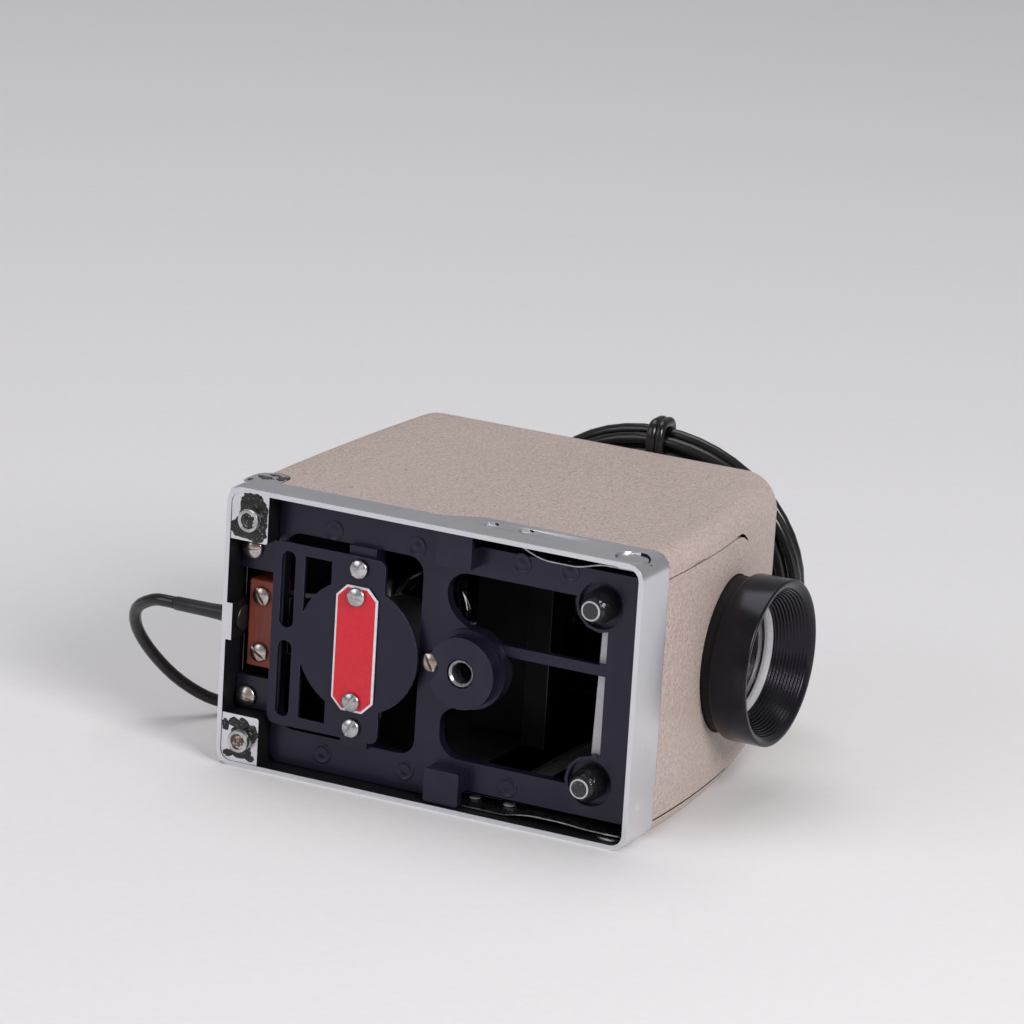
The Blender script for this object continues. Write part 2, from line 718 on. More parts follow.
def add_tube(name, points, radius, sides_level, finish, body):
    """A round tube along points, as a curve with filled ends."""
    curve = bpy.data.curves.new(name, "CURVE")
    curve.dimensions = "3D"
    curve.bevel_depth = radius
    curve.bevel_resolution = sides_level
    curve.use_fill_caps = True
    run = curve.splines.new("POLY")
    run.points.add(len(points) - 1)
    for spot, point in zip(run.points, points):
        spot.co = (*(Vector(point) - body.anchor), 1.0)
    tube = bpy.data.objects.new(name, curve)
    bpy.context.collection.objects.link(tube)
    tube.parent = body.empty
    curve.materials.append(finish)
    return tube


# Housing sections


def shell_ring(y, depth, rounding):
    """A section of the housing at height y, set in by depth and by the top's rounding."""
    inset = depth + rounding
    low = (rear_x(y) + SHELL_INSET + inset, SHELL_INSET + inset)
    high = (front_x(y) - SHELL_INSET - inset, BODY_WIDTH - SHELL_INSET - inset)
    radius = max(corner_radius(y) - inset, SHELL_WALL)
    return [(x, y, z) for x, z in rounded_rectangle(low, high, radius)]


def shell_skin(depth):
    """Rings of one skin of the housing, from its open edge up to the flat top."""
    top = BODY_HEIGHT - depth
    radius = SHELL_TOP_RADIUS - depth
    start = BAND_REAR_HEIGHT - CUT_OVERRUN
    rings = [
        shell_ring(y, depth, 0) for y in np.linspace(start, top - radius, SHELL_SECTIONS)
    ]
    for turn in np.radians(np.linspace(0, 90, TOP_SECTIONS + 1))[1:]:
        y = top - radius + radius * math.sin(turn)
        rings.append(shell_ring(y, depth, radius * (1 - math.cos(turn))))
    return rings


def band_line(gap):
    """The step in the joint between band and housing, from rear to front, gap above it."""
    rear, front = BAND_REAR_HEIGHT + gap, BAND_FRONT_HEIGHT + gap
    return [
        (-CUT_OVERRUN, rear),
        (BAND_STEP_START, rear),
        (BAND_STEP_START + BAND_STEP_RUN, front),
        (BARREL_FRONT + CUT_OVERRUN, front),
    ]


def side_levels(sign, inner, outer):
    """Z of a piece on the upper or lower side, given as distances in from that side."""
    face = BODY_WIDTH if sign > 0 else 0
    return sorted((face - sign * inner, face - sign * outer))


# Base frame


def build_base_frame(body, finish):
    outer = rounded_rectangle((0, 0), (BASE_LENGTH, BODY_WIDTH), BASE_CORNER_RADIUS)
    inner = rounded_rectangle(
        (BAND_WALL, BAND_WALL),
        (BASE_LENGTH - BAND_WALL, BODY_WIDTH - BAND_WALL),
        BASE_CORNER_RADIUS - BAND_WALL,
    )
    shape = prism(outer, "Y", 0, BAND_FRONT_HEIGHT, holes=[inner])
    frame = add_piece("base_frame", shape, finish, body)
    above = band_line(0) + [
        (BARREL_FRONT + CUT_OVERRUN, BAND_FRONT_HEIGHT + CUT_OVERRUN),
        (-CUT_OVERRUN, BAND_FRONT_HEIGHT + CUT_OVERRUN),
    ]
    step = prism(above, "Z", -CUT_OVERRUN, BODY_WIDTH + CUT_OVERRUN)
    cut(frame, "band_step_cutter", step, body)
    for side, sign in SIDES:
        add_frame_corner(frame, side, sign, body)
        cut_latch_holes(frame, side, sign, body)
    lip = box(
        (BAND_WALL / 2, 0, GLAND_Z - CORD_LIP_WIDTH / 2),
        (BAND_WALL + CORD_LIP_THICKNESS, CORD_LIP_DEPTH, GLAND_Z + CORD_LIP_WIDTH / 2),
    )
    add_to(frame, "cord_lip", lip, body)
    hole = cylinder(
        "X",
        (GLAND_Y, GLAND_Z),
        GLAND_BODY_RADIUS + SEAT_GAP,
        -CUT_OVERRUN,
        BAND_WALL + CORD_LIP_THICKNESS + CUT_OVERRUN,
    )
    cut(frame, "gland_hole_cutter", hole, body)
    return frame


def add_frame_corner(frame, side, sign, body):
    """The pad under a rear foot, the lug behind it and the ear that the housing hooks on."""
    low, high = side_levels(sign, BAND_WALL / 2, PAD_WIDTH)
    pad = rounded_rectangle((BAND_WALL / 2, low), (PAD_LENGTH, high), BAND_WALL / 2)
    add_to(frame, f"pad_{side}", prism(pad, "Y", PAD_RECESS, PAD_DEPTH), body)
    lug_low, lug_high = side_levels(sign, PAD_WIDTH - BAND_WALL, PAD_WIDTH + LUG_WIDTH)
    lug = box(
        (BAND_WALL / 2, LUG_FACE, lug_low),
        (LUG_LENGTH, LUG_DEPTH, lug_high),
    )
    add_to(frame, f"lug_{side}", lug, body)
    ear_low, ear_high = side_levels(sign, EAR_INSET, EAR_THICKNESS)
    ear = rounded_rectangle(
        (EAR_INSET, PAD_DEPTH / 2), (EAR_LENGTH, EAR_HEIGHT), EAR_CORNER_RADIUS
    )
    add_to(frame, f"ear_{side}", prism(ear, "Z", ear_low, ear_high), body)
    boss_low, boss_high = side_levels(
        sign, EAR_THICKNESS / 2, EAR_THICKNESS + EAR_BOSS_LENGTH
    )
    boss = cylinder("Z", (EAR_BOSS_X, EAR_BOSS_Y), EAR_BOSS_RADIUS, boss_low, boss_high)
    add_to(frame, f"ear_boss_{side}", boss, body)
    stem = cylinder(
        "Y",
        (STUD_X, MIDDLE + sign * STUD_OFFSET),
        STUD_STEM_HOLE_RADIUS,
        -CUT_OVERRUN,
        STUD_STEM_LENGTH + SEAT_GAP,
    )
    cut(frame, f"stud_hole_{side}", stem, body)
    screw = cylinder(
        "Y",
        (CHASSIS_SCREW_X, MIDDLE + sign * CHASSIS_SCREW_OFFSET),
        CHASSIS_SCREW_HOLE_RADIUS,
        LUG_FACE - CUT_OVERRUN,
        LUG_DEPTH + CUT_OVERRUN,
    )
    cut(frame, f"lug_hole_{side}", screw, body)


def cut_latch_holes(frame, side, sign, body):
    low, high = side_levels(sign, -CUT_OVERRUN, BAND_WALL + SEAT_GAP)
    hole = cylinder(
        "Z", (BUTTON_X, BUTTON_Y), BUTTON_RADIUS + RUNNING_GAP, low, high, LENS_SEGMENTS // 2
    )
    cut(frame, f"button_hole_{side}", hole, body)
    depth = BUTTON_FLANGE_THICKNESS + BUTTON_TRAVEL + 2 * SEAT_GAP
    low, high = side_levels(sign, BAND_WALL, BAND_WALL + depth)
    room = cylinder(
        "Z",
        (BUTTON_X, BUTTON_Y),
        BUTTON_FLANGE_RADIUS + RUNNING_GAP,
        low,
        high,
        LENS_SEGMENTS // 2,
    )
    cut(frame, f"flange_room_{side}", room, body)
    low, high = side_levels(sign, -CUT_OVERRUN, BAND_WALL + SEAT_GAP)
    for number, x in enumerate(RIVET_SITES_X):
        hole = cylinder("Z", (x, RIVET_Y), RIVET_SHANK_RADIUS + SEAT_GAP, low, high)
        cut(frame, f"rivet_hole_{side}_{number}", hole, body)
        low_seat, high_seat = side_levels(sign, -CUT_OVERRUN, RIVET_HEAD_HEIGHT + SEAT_GAP)
        seat = cylinder(
            "Z", (x, RIVET_Y), RIVET_HEAD_RADIUS + SEAT_GAP, low_seat, high_seat
        )
        cut(frame, f"rivet_seat_{side}_{number}", seat, body)


# Deck casting


def deck_outline():
    gap = BAND_WALL + SEAT_GAP
    return rounded_rectangle(
        (DECK_REAR, gap),
        (BASE_LENGTH - gap, BODY_WIDTH - gap),
        DECK_CORNER_RADIUS,
    )


def build_deck(body, finish):
    lamp = rounded_rectangle(
        (LAMP_OPENING_REAR, MIDDLE - LAMP_OPENING_HALF),
        (LAMP_OPENING_FRONT, MIDDLE + LAMP_OPENING_HALF),
        LAMP_OPENING_RADIUS,
    )
    gate = rounded_rectangle(
        (GATE_OPENING_REAR, MIDDLE - GATE_OPENING_HALF),
        (GATE_OPENING_FRONT, MIDDLE + GATE_OPENING_HALF),
        GATE_OPENING_RADIUS,
    )
    shape = prism(deck_outline(), "Y", DECK_FACE, DECK_DEPTH, holes=[lamp, gate])
    deck = add_piece("chassis_deck", shape, finish, body)
    add_boss(deck, body)
    rib = box(
        (BOSS_X, RIB_FACE, RIB_MIDDLE - RIB_WIDTH / 2),
        (GATE_OPENING_FRONT + RIB_WIDTH, DECK_DEPTH, RIB_MIDDLE + RIB_WIDTH / 2),
    )
    add_to(deck, "gate_rib", rib, body)
    for side, sign in SIDES:
        add_deck_side(deck, side, sign, body)
    bore = cylinder(
        "Y",
        (BOSS_X, MIDDLE),
        BOSS_BORE_RADIUS,
        BOSS_FACE - CUT_OVERRUN,
        DECK_DEPTH + CUT_OVERRUN,
    )
    cut(deck, "boss_bore", bore, body)
    pocket = cylinder(
        "Y", (POCKET_X, MIDDLE), POCKET_RADIUS, BOSS_FACE - CUT_OVERRUN, POCKET_DEPTH
    )
    cut(deck, "boss_pocket", pocket, body)
    hole = cylinder(
        "Y",
        (POCKET_X, MIDDLE),
        SCREW_HOLE_RADIUS,
        POCKET_DEPTH - CUT_OVERRUN,
        DECK_DEPTH + CUT_OVERRUN,
    )
    cut(deck, "boss_screw_hole", hole, body)
    return deck


def add_boss(deck, body):
    shoulder = cylinder(
        "Y",
        (BOSS_X, MIDDLE),
        BOSS_SHOULDER_RADIUS,
        BOSS_SHOULDER_FACE,
        DECK_DEPTH,
        LENS_SEGMENTS,
    )
    add_to(deck, "boss_shoulder", shoulder, body)
    boss = cylinder(
        "Y",
        (BOSS_X, MIDDLE),
        BOSS_RADIUS,
        BOSS_FACE,
        BOSS_SHOULDER_FACE + SEAT_GAP,
        LENS_SEGMENTS,
    )
    add_to(deck, "boss_face", boss, body)
    for side, sign in SIDES:
        shape = prism(gusset_outline(sign), "Y", DECK_FACE, DECK_DEPTH)
        add_to(deck, f"boss_gusset_{side}", shape, body)


def gusset_outline(sign):
    """A hollow curve from the web's front edge to the boss, with the corner behind it."""
    reach = UPPER_GUSSET_REACH if sign > 0 else LOWER_GUSSET_REACH
    angle = math.radians(GUSSET_ANGLE)
    start = np.array((GATE_OPENING_REAR, MIDDLE + sign * reach))
    bend = np.array((GATE_OPENING_REAR, MIDDLE + sign * BOSS_SHOULDER_RADIUS))
    end = np.array(
        (
            BOSS_X + BOSS_SHOULDER_RADIUS * math.cos(angle),
            MIDDLE + sign * BOSS_SHOULDER_RADIUS * math.sin(angle),
        )
    )
    curve = [
        tuple((1 - t) ** 2 * start + 2 * t * (1 - t) * bend + t**2 * end)
        for t in np.linspace(0, 1, GUSSET_STEPS + 1)
    ]
    rear = GATE_OPENING_REAR - WEB_WIDTH / 2
    return curve + [(BOSS_X, MIDDLE), (rear, MIDDLE), (rear, MIDDLE + sign * reach)]


def add_deck_side(deck, side, sign, body):
    """What the deck has twice: arm, block, screw tab and pad under a post."""
    screw_z = MIDDLE + sign * CHASSIS_SCREW_OFFSET
    low, high = side_levels(sign, PAD_WIDTH + SEAT_GAP, PAD_WIDTH + LUG_WIDTH)
    arm = box(
        (BAND_WALL + SEAT_GAP, ARM_FACE, low),
        (LAMP_OPENING_REAR - SEAT_GAP, ARM_DEPTH, high),
    )
    add_to(deck, f"arm_{side}", arm, body)
    gap = BAND_WALL + SEAT_GAP
    low, high = side_levels(sign, gap, gap + BLOCK_WIDTH)
    block = rounded_rectangle((BLOCK_REAR, low), (BLOCK_FRONT, high), BAND_WALL / 2)
    shape = prism(block, "Y", BLOCK_FACE, DECK_FACE + SEAT_GAP)
    add_to(deck, f"block_{side}", shape, body)
    reach = sorted(
        (
            MIDDLE + sign * (LAMP_OPENING_HALF + SEAT_GAP),
            MIDDLE + sign * (LAMP_OPENING_HALF - TAB_REACH),
        )
    )
    tab_face = PLATE_FACE + PLATE_THICKNESS + SEAT_GAP
    tab = box(
        (PLATE_SCREW_X - TAB_HALF_WIDTH, tab_face, reach[0]),
        (PLATE_SCREW_X + TAB_HALF_WIDTH, DECK_DEPTH, reach[1]),
    )
    add_to(deck, f"tab_{side}", tab, body)
    low, high = side_levels(sign, 0, BAND_WALL + LEAF_BOW + LEAF_THICKNESS + RUNNING_GAP)
    room = box(
        (LEAF_REAR - RUNNING_GAP, LEAF_Y - LEAF_WIDTH / 2 - RUNNING_GAP, low),
        (BASE_LENGTH, DECK_DEPTH + CUT_OVERRUN, high),
    )
    cut(deck, f"leaf_room_{side}", room, body)
    post_z = MIDDLE + sign * POST_OFFSET
    pad = cylinder("Y", (POST_X, post_z), POST_PAD_RADIUS, DECK_FACE, DECK_DEPTH)
    add_to(deck, f"post_pad_{side}", pad, body)
    recess = cylinder(
        "Y",
        (POST_X, post_z),
        POST_RECESS_RADIUS,
        DECK_FACE - CUT_OVERRUN,
        POST_SEAT,
        GLASS_SEGMENTS,
    )
    cut(deck, f"post_recess_{side}", recess, body)
    post_hole = cylinder(
        "Y",
        (POST_X, post_z),
        SCREW_HOLE_RADIUS,
        DECK_FACE - CUT_OVERRUN,
        DECK_DEPTH + CUT_OVERRUN,
    )
    cut(deck, f"post_hole_{side}", post_hole, body)
    for x, z in ((CHASSIS_SCREW_X, screw_z), (PLATE_SCREW_X, MIDDLE + sign * PLATE_SCREW_OFFSET)):
        hole = cylinder(
            "Y",
            (x, z),
            SCREW_HOLE_RADIUS,
            PLATE_FACE - CUT_OVERRUN,
            DECK_DEPTH + CUT_OVERRUN,
        )
        cut(deck, f"screw_hole_{side}_{round(x / MM)}", hole, body)


def build_bush(body, finish):
    low, high = BOSS_FACE + SEAT_GAP, DECK_DEPTH
    profile = (
        (low, BUSH_RADIUS),
        (high, BUSH_RADIUS),
        (high, BUSH_BORE_RADIUS),
        (low + BUSH_CHAMFER, BUSH_BORE_RADIUS),
        (low, BUSH_BORE_RADIUS + BUSH_CHAMFER),
    )
    shape = lathe(profile, "Y", (BOSS_X, MIDDLE), LENS_SEGMENTS // 2)
    return add_piece("tripod_bush", shape, finish, body)


# Lamp plate and red plate


def lamp_plate_outline():
    """A rounded rectangle with the lamp disc standing out of its front edge."""
    meet = math.degrees(math.acos((PLATE_FRONT - LAMP_X) / DISC_RADIUS))
    disc = arc((LAMP_X, MIDDLE), DISC_RADIUS, -meet, meet, DISC_STEPS)
    r = PLATE_CORNER_RADIUS
    low, high = MIDDLE - PLATE_HALF, MIDDLE + PLATE_HALF
    outline = list(disc)
    outline += arc((PLATE_FRONT - r, high - r), r, 0, 90, CORNER_STEPS)
    outline += arc((PLATE_REAR + r, high - r), r, 90, 180, CORNER_STEPS)
    outline += arc((PLATE_REAR + r, low + r), r, 180, 270, CORNER_STEPS)
    outline += arc((PLATE_FRONT - r, low + r), r, 270, 360, CORNER_STEPS)
    return outline


def lamp_plate_window(sign):
    """A window that follows the lamp disc on its inner side."""
    outline = []
    for x in np.linspace(WINDOW_REAR, WINDOW_FRONT, WINDOW_STEPS + 1):
        rise = math.sqrt(max(WINDOW_RIM_RADIUS**2 - (LAMP_X - x) ** 2, SLOT_INNER**2))
        outline.append((x, MIDDLE + sign * rise))
    outline.append((WINDOW_FRONT, MIDDLE + sign * WINDOW_OUTER))
    outline.append((WINDOW_REAR, MIDDLE + sign * WINDOW_OUTER))
    return outline


def lamp_plate_slot(sign):
    inner, outer = MIDDLE + sign * SLOT_INNER, MIDDLE + sign * SLOT_OUTER
    low, high = min(inner, outer), max(inner, outer)
    return rounded_rectangle(
        (SLOT_REAR, low), (SLOT_REAR + SLOT_WIDTH, high), SLOT_WIDTH / 2 - SEAT_GAP / 2
    )


def build_vent_plate(body, finish):
    holes = []
    for _side, sign in SIDES:
        holes.append(lamp_plate_window(sign))
        holes.append(lamp_plate_slot(sign))
        for offset in (PLATE_SCREW_OFFSET, LABEL_SCREW_OFFSET):
            holes.append(circle((PLATE_SCREW_X, MIDDLE + sign * offset), SCREW_HOLE_RADIUS))
    shape = prism(
        lamp_plate_outline(), "Y", PLATE_FACE, PLATE_FACE + PLATE_THICKNESS, holes
    )
    return add_piece("vent_plate", shape, finish, body)


def chamfered_rectangle(middle, length, width, chamfer):
    """An outline with its four corners cut off, longer in its second direction."""
    u, v = middle
    a, b = width / 2, length / 2
    return [
        (u - a + chamfer, v - b),
        (u + a - chamfer, v - b),
        (u + a, v - b + chamfer),
        (u + a, v + b - chamfer),
        (u + a - chamfer, v + b),
        (u - a + chamfer, v + b),
        (u - a, v + b - chamfer),
        (u - a, v - b + chamfer),
    ]


def build_label(body, finish):
    outline = chamfered_rectangle(
        (LABEL_MIDDLE_X, MIDDLE), LABEL_LENGTH, LABEL_WIDTH, LABEL_CHAMFER
    )
    holes = [
        circle((PLATE_SCREW_X, MIDDLE + sign * LABEL_SCREW_OFFSET), SCREW_HOLE_RADIUS)
        for _side, sign in SIDES
    ]
    shape = prism(outline, "Y", LABEL_FACE, LABEL_FACE + LABEL_THICKNESS, holes)
    return add_piece("rating_plate", shape, finish, body)


# Screws


def add_screw(name, place_xz, seat, length, turn, finish, body, head=None):
    """A slotted screw whose head rests SEAT_GAP off its seat and whose shank goes to +Y."""
    radius, height = head or (SCREW_HEAD_RADIUS, SCREW_HEAD_HEIGHT)
    under = seat - SEAT_GAP
    face = under - height
    profile = cap_profile(under, face, radius, 1 - HEAD_EDGE_SHARE)
    profile += [(under + length, 0), (under + length, SCREW_SHANK_RADIUS)]
    profile += [(under, SCREW_SHANK_RADIUS)]
    screw = add_piece(name, lathe(profile, "Y", place_xz), finish, body)
    bar = rectangle((-radius, -SCREW_SLOT_WIDTH / 2), (radius, SCREW_SLOT_WIDTH / 2))
    bar = [(u + math.copysign(radius, u), v) for u, v in bar]
    cos, sin = math.cos(turn), math.sin(turn)
    outline = [
        (place_xz[0] + u * cos - v * sin, place_xz[1] + u * sin + v * cos) for u, v in bar
    ]
    slot = prism(outline, "Y", face - CUT_OVERRUN, face + SCREW_SLOT_DEPTH)
    cut(screw, f"{name}_slot", slot, body)
    return screw


def build_screws(body, finishes):
    nickel = finishes["nickel"]
    big = (BIG_SCREW_HEAD_RADIUS, BIG_SCREW_HEAD_HEIGHT)
    turns = {
        "chassis_screw": (math.radians(12), math.radians(-4)),
        "terminal_screw": (math.radians(-58), math.radians(-32)),
        "vent_plate_screw": (math.radians(48), math.radians(62)),
        "rating_plate_screw": (math.radians(-8), math.radians(52)),
    }
    for number, (side, sign) in enumerate(SIDES):
        add_screw(
            f"chassis_screw_{side}",
            (CHASSIS_SCREW_X, MIDDLE + sign * CHASSIS_SCREW_OFFSET),
            ARM_FACE,
            LUG_DEPTH - ARM_FACE,
            turns["chassis_screw"][number],
            nickel,
            body,
            big,
        )
        add_screw(
            f"terminal_screw_{side}",
            (TERMINAL_SCREW_X, MIDDLE + sign * TERMINAL_SCREW_OFFSET),
            TERMINAL_FACE,
            TERMINAL_SCREW_LENGTH,
            turns["terminal_screw"][number],
            nickel,
            body,
        )
        add_screw(
            f"vent_plate_screw_{side}",
            (PLATE_SCREW_X, MIDDLE + sign * PLATE_SCREW_OFFSET),
            PLATE_FACE,
            DECK_DEPTH - PLATE_FACE,
            turns["vent_plate_screw"][number],
            nickel,
            body,
        )
        add_screw(
            f"rating_plate_screw_{side}",
            (PLATE_SCREW_X, MIDDLE + sign * LABEL_SCREW_OFFSET),
            LABEL_FACE,
            DECK_FACE - LABEL_FACE,
            turns["rating_plate_screw"][number],
            nickel,
            body,
        )
    add_screw(
        "boss_screw",
        (POCKET_X, MIDDLE),
        POCKET_DEPTH,
        DECK_DEPTH - POCKET_DEPTH,
        math.radians(118),
        nickel,
        body,
    )


# Terminal block and feet


def build_terminal_block(body, finish):
    half = TERMINAL_LENGTH / 2
    shape = box(
        (TERMINAL_REAR, TERMINAL_FACE, MIDDLE - half),
        (DECK_REAR - SEAT_GAP, TERMINAL_DEPTH, MIDDLE + half),
    )
    block = add_piece("terminal_block", shape, finish, body)
    for side, sign in SIDES:
        hole = cylinder(
            "Y",
            (TERMINAL_SCREW_X, MIDDLE + sign * TERMINAL_SCREW_OFFSET),
            SCREW_SHANK_RADIUS + SEAT_GAP,
            TERMINAL_FACE - CUT_OVERRUN,
            TERMINAL_FACE + TERMINAL_SCREW_LENGTH + SEAT_GAP,
        )
        cut(block, f"terminal_hole_{side}", hole, body)
    edge = block.modifiers.new("edges", "BEVEL")
    edge.width = TERMINAL_BEVEL
    edge.segments = 1
    edge.limit_method = "ANGLE"
    return block


def build_feet(body, finishes):
    for side, sign in SIDES:
        stud_z = MIDDLE + sign * STUD_OFFSET
        seat = PAD_RECESS - SEAT_GAP
        profile = cap_profile(seat, -STUD_REACH, STUD_RADIUS, HEAD_EDGE_SHARE / 2)
        profile += [
            (STUD_STEM_LENGTH, 0),
            (STUD_STEM_LENGTH, STUD_STEM_RADIUS),
            (seat, STUD_STEM_RADIUS),
        ]
        shape = lathe(profile, "Y", (STUD_X, stud_z))
        add_piece(f"foot_stud_rear_{side}", shape, finishes["nickel"], body)
        seat = POST_SEAT - SEAT_GAP
        profile = [(seat, POST_RADIUS)]
        for turn in np.radians(np.linspace(0, 90, CORNER_STEPS + 1)):
            lift = POST_ROUND * math.sin(turn)
            spread = (POST_RADIUS - POST_TOP_RADIUS) * math.cos(turn)
            profile.append((POST_ROUND - lift, POST_TOP_RADIUS + spread))
        profile += [
            (0, 0),
            (DECK_DEPTH, 0),
            (DECK_DEPTH, SCREW_SHANK_RADIUS),
            (seat, SCREW_SHANK_RADIUS),
        ]
        shape = lathe(profile, "Y", (POST_X, MIDDLE + sign * POST_OFFSET))
        add_piece(f"foot_post_front_{side}", shape, finishes["rubber"], body)


# Latches


def leaf_line(x):
    """How far the leaf spring stands off the band at x: riveted flat, then bowed."""
    flat_end = RIVET_SITES_X[1] + RIVET_HEAD_RADIUS
    rest = BUTTON_FLANGE_THICKNESS + 2 * SEAT_GAP
    if x < flat_end:
        return SEAT_GAP
    if x < LEAF_BOW_X:
        share = (x - flat_end) / (LEAF_BOW_X - flat_end)
        return SEAT_GAP + (LEAF_BOW - SEAT_GAP) * (1 - math.cos(math.pi * share)) / 2
    fall_end = BUTTON_X - BUTTON_FLANGE_RADIUS
    share = min((x - LEAF_BOW_X) / (fall_end - LEAF_BOW_X), 1)
    return LEAF_BOW + (rest - LEAF_BOW) * (1 - math.cos(math.pi * share)) / 2


def build_latches(root, buttons, finishes):
    for side, sign in SIDES:
        face = BODY_WIDTH if sign > 0 else 0
        xs = np.linspace(LEAF_REAR, LEAF_FRONT, LEAF_STEPS + 1)
        near = [(x, face - sign * (BAND_WALL + leaf_line(x))) for x in xs]
        far = [(x, z - sign * LEAF_THICKNESS) for x, z in reversed(near)]
        low, high = LEAF_Y - LEAF_WIDTH / 2, LEAF_Y + LEAF_WIDTH / 2
        leaf = add_piece(
            f"latch_spring_{side}", prism(near + far, "Y", low, high), finishes["steel"], root
        )
        for number, x in enumerate(RIVET_SITES_X):
            inner = BAND_WALL + SEAT_GAP + LEAF_THICKNESS
            ends = side_levels(sign, -CUT_OVERRUN, inner + CUT_OVERRUN)
            hole = cylinder("Z", (x, RIVET_Y), RIVET_SHANK_RADIUS + SEAT_GAP, *ends)
            cut(leaf, f"leaf_hole_{side}_{number}", hole, root)
            build_rivet(f"spring_rivet_{side}_{number + 1}", x, face, sign, finishes, root)
        build_button(side, sign, face, buttons[side], finishes)
        build_catch(side, sign, finishes["steel"], root)


def build_rivet(name, x, face, sign, finishes, body):
    """A rivet with a low outer head sunk in the band and an inner head on the leaf."""
    inner = BAND_WALL + SEAT_GAP + LEAF_THICKNESS + SEAT_GAP
    depths = (
        (RIVET_SUNK, 0),
        (RIVET_SUNK, RIVET_HEAD_RADIUS - RIVET_SUNK),
        (RIVET_HEAD_HEIGHT, RIVET_HEAD_RADIUS),
        (RIVET_HEAD_HEIGHT, RIVET_SHANK_RADIUS),
        (inner, RIVET_SHANK_RADIUS),
        (inner, RIVET_HEAD_RADIUS),
        (inner + RIVET_HEAD_HEIGHT, RIVET_SHANK_RADIUS),
        (inner + RIVET_HEAD_HEIGHT, 0),
    )
    profile = [(face - sign * depth, radius) for depth, radius in depths]
    add_piece(name, lathe(profile, "Z", (x, RIVET_Y)), finishes["nickel"], body)


def build_button(side, sign, face, body, finishes):
    """A domed button whose flange stays behind the band."""
    flange = BAND_WALL + SEAT_GAP
    crown = BUTTON_RECESS
    depths = [(crown, 0)]
    for share in np.linspace(0, 1, CORNER_STEPS)[1:]:
        depths.append((crown + BUTTON_DOME * share**2, BUTTON_RADIUS * share))
    depths += [
        (flange, BUTTON_RADIUS),
        (flange, BUTTON_FLANGE_RADIUS),
        (flange + BUTTON_FLANGE_THICKNESS - SEAT_GAP / 2, BUTTON_FLANGE_RADIUS),
        (flange + BUTTON_FLANGE_THICKNESS - SEAT_GAP / 2, 0),
    ]
    profile = [(face - sign * depth, radius) for depth, radius in depths]
    shape = lathe(profile, "Z", (BUTTON_X, BUTTON_Y), LENS_SEGMENTS // 2)
    add_piece(f"latch_button_{side}", shape, finishes["nickel"], body)


def build_catch(side, sign, finish, body):
    """A steel tongue on the housing's side wall that reaches down inside the band."""
    outer = SHELL_INSET + SHELL_WALL + SEAT_GAP
    low, high = side_levels(sign, outer, outer + CATCH_THICKNESS)
    shape = box((CATCH_REAR, CATCH_LOW, low), (CATCH_FRONT, CATCH_HIGH, high))
    add_piece(f"latch_catch_{side}", shape, finish, body)


# Housing


def build_shell(body, finish):
    outer, inner = shell_skin(0), shell_skin(SHELL_WALL)
    rings = outer + inner[::-1]
    size = len(rings[0])
    points = [point for ring in rings for point in ring]
    faces = []
    for level in range(len(rings)):
        if level == len(outer) - 1:
            continue
        low, high = level * size, ((level + 1) % len(rings)) * size
        for i in range(size):
            j = (i + 1) % size
            faces.append((low + i, low + j, high + j, high + i))
    top, ceiling = (len(outer) - 1) * size, len(outer) * size
    faces.append(tuple(range(top, top + size)))
    faces.append(tuple(range(ceiling, ceiling + size)))
    shell = add_piece("housing_shell", (points, faces), finish, body)
    below = band_line(SHELL_SEAM_GAP) + [
        (BARREL_FRONT + CUT_OVERRUN, -CUT_OVERRUN),
        (-CUT_OVERRUN, -CUT_OVERRUN),
    ]
    edge = prism(below, "Z", -CUT_OVERRUN, BODY_WIDTH + CUT_OVERRUN)
    cut(shell, "band_joint_cutter", edge, body)
    lens = cylinder(
        "X",
        (AXIS_Y, MIDDLE),
        BARREL_NECK_RADIUS + RUNNING_GAP,
        TUBE_FRONT - BARREL_RADIUS,
        BARREL_FRONT,
        LENS_SEGMENTS,
    )
    cut(shell, "lens_hole_cutter", lens, body)
    for side, sign in SIDES:
        cut_ear_notch(shell, side, sign, body)
        cut_seam(shell, side, sign, body)
    cut_top_vents(shell, body)
    middle = GATE_REAR + GATE_DEPTH / 2
    slot = rounded_rectangle(
        (middle - SLIDE_SLOT_WIDTH / 2, AXIS_Y - SLIDE_SLOT_HEIGHT / 2),
        (middle + SLIDE_SLOT_WIDTH / 2, AXIS_Y + SLIDE_SLOT_HEIGHT / 2),
        SHELL_WALL,
    )
    cut(shell, "slide_slot_cutter", prism(slot, "Z", -CUT_OVERRUN, CUT_OVERRUN), body)
    return shell


def cut_ear_notch(shell, side, sign, body):
    low, high = side_levels(sign, -CUT_OVERRUN, EAR_THICKNESS + EAR_NOTCH_GAP)
    notch = rounded_rectangle(
        (-EAR_LENGTH, BAND_REAR_HEIGHT - CUT_OVERRUN),
        (EAR_LENGTH + EAR_NOTCH_GAP, EAR_HEIGHT + EAR_NOTCH_GAP),
        EAR_CORNER_RADIUS + EAR_NOTCH_GAP,
    )
    cut(shell, f"ear_notch_{side}", prism(notch, "Z", low, high), body)


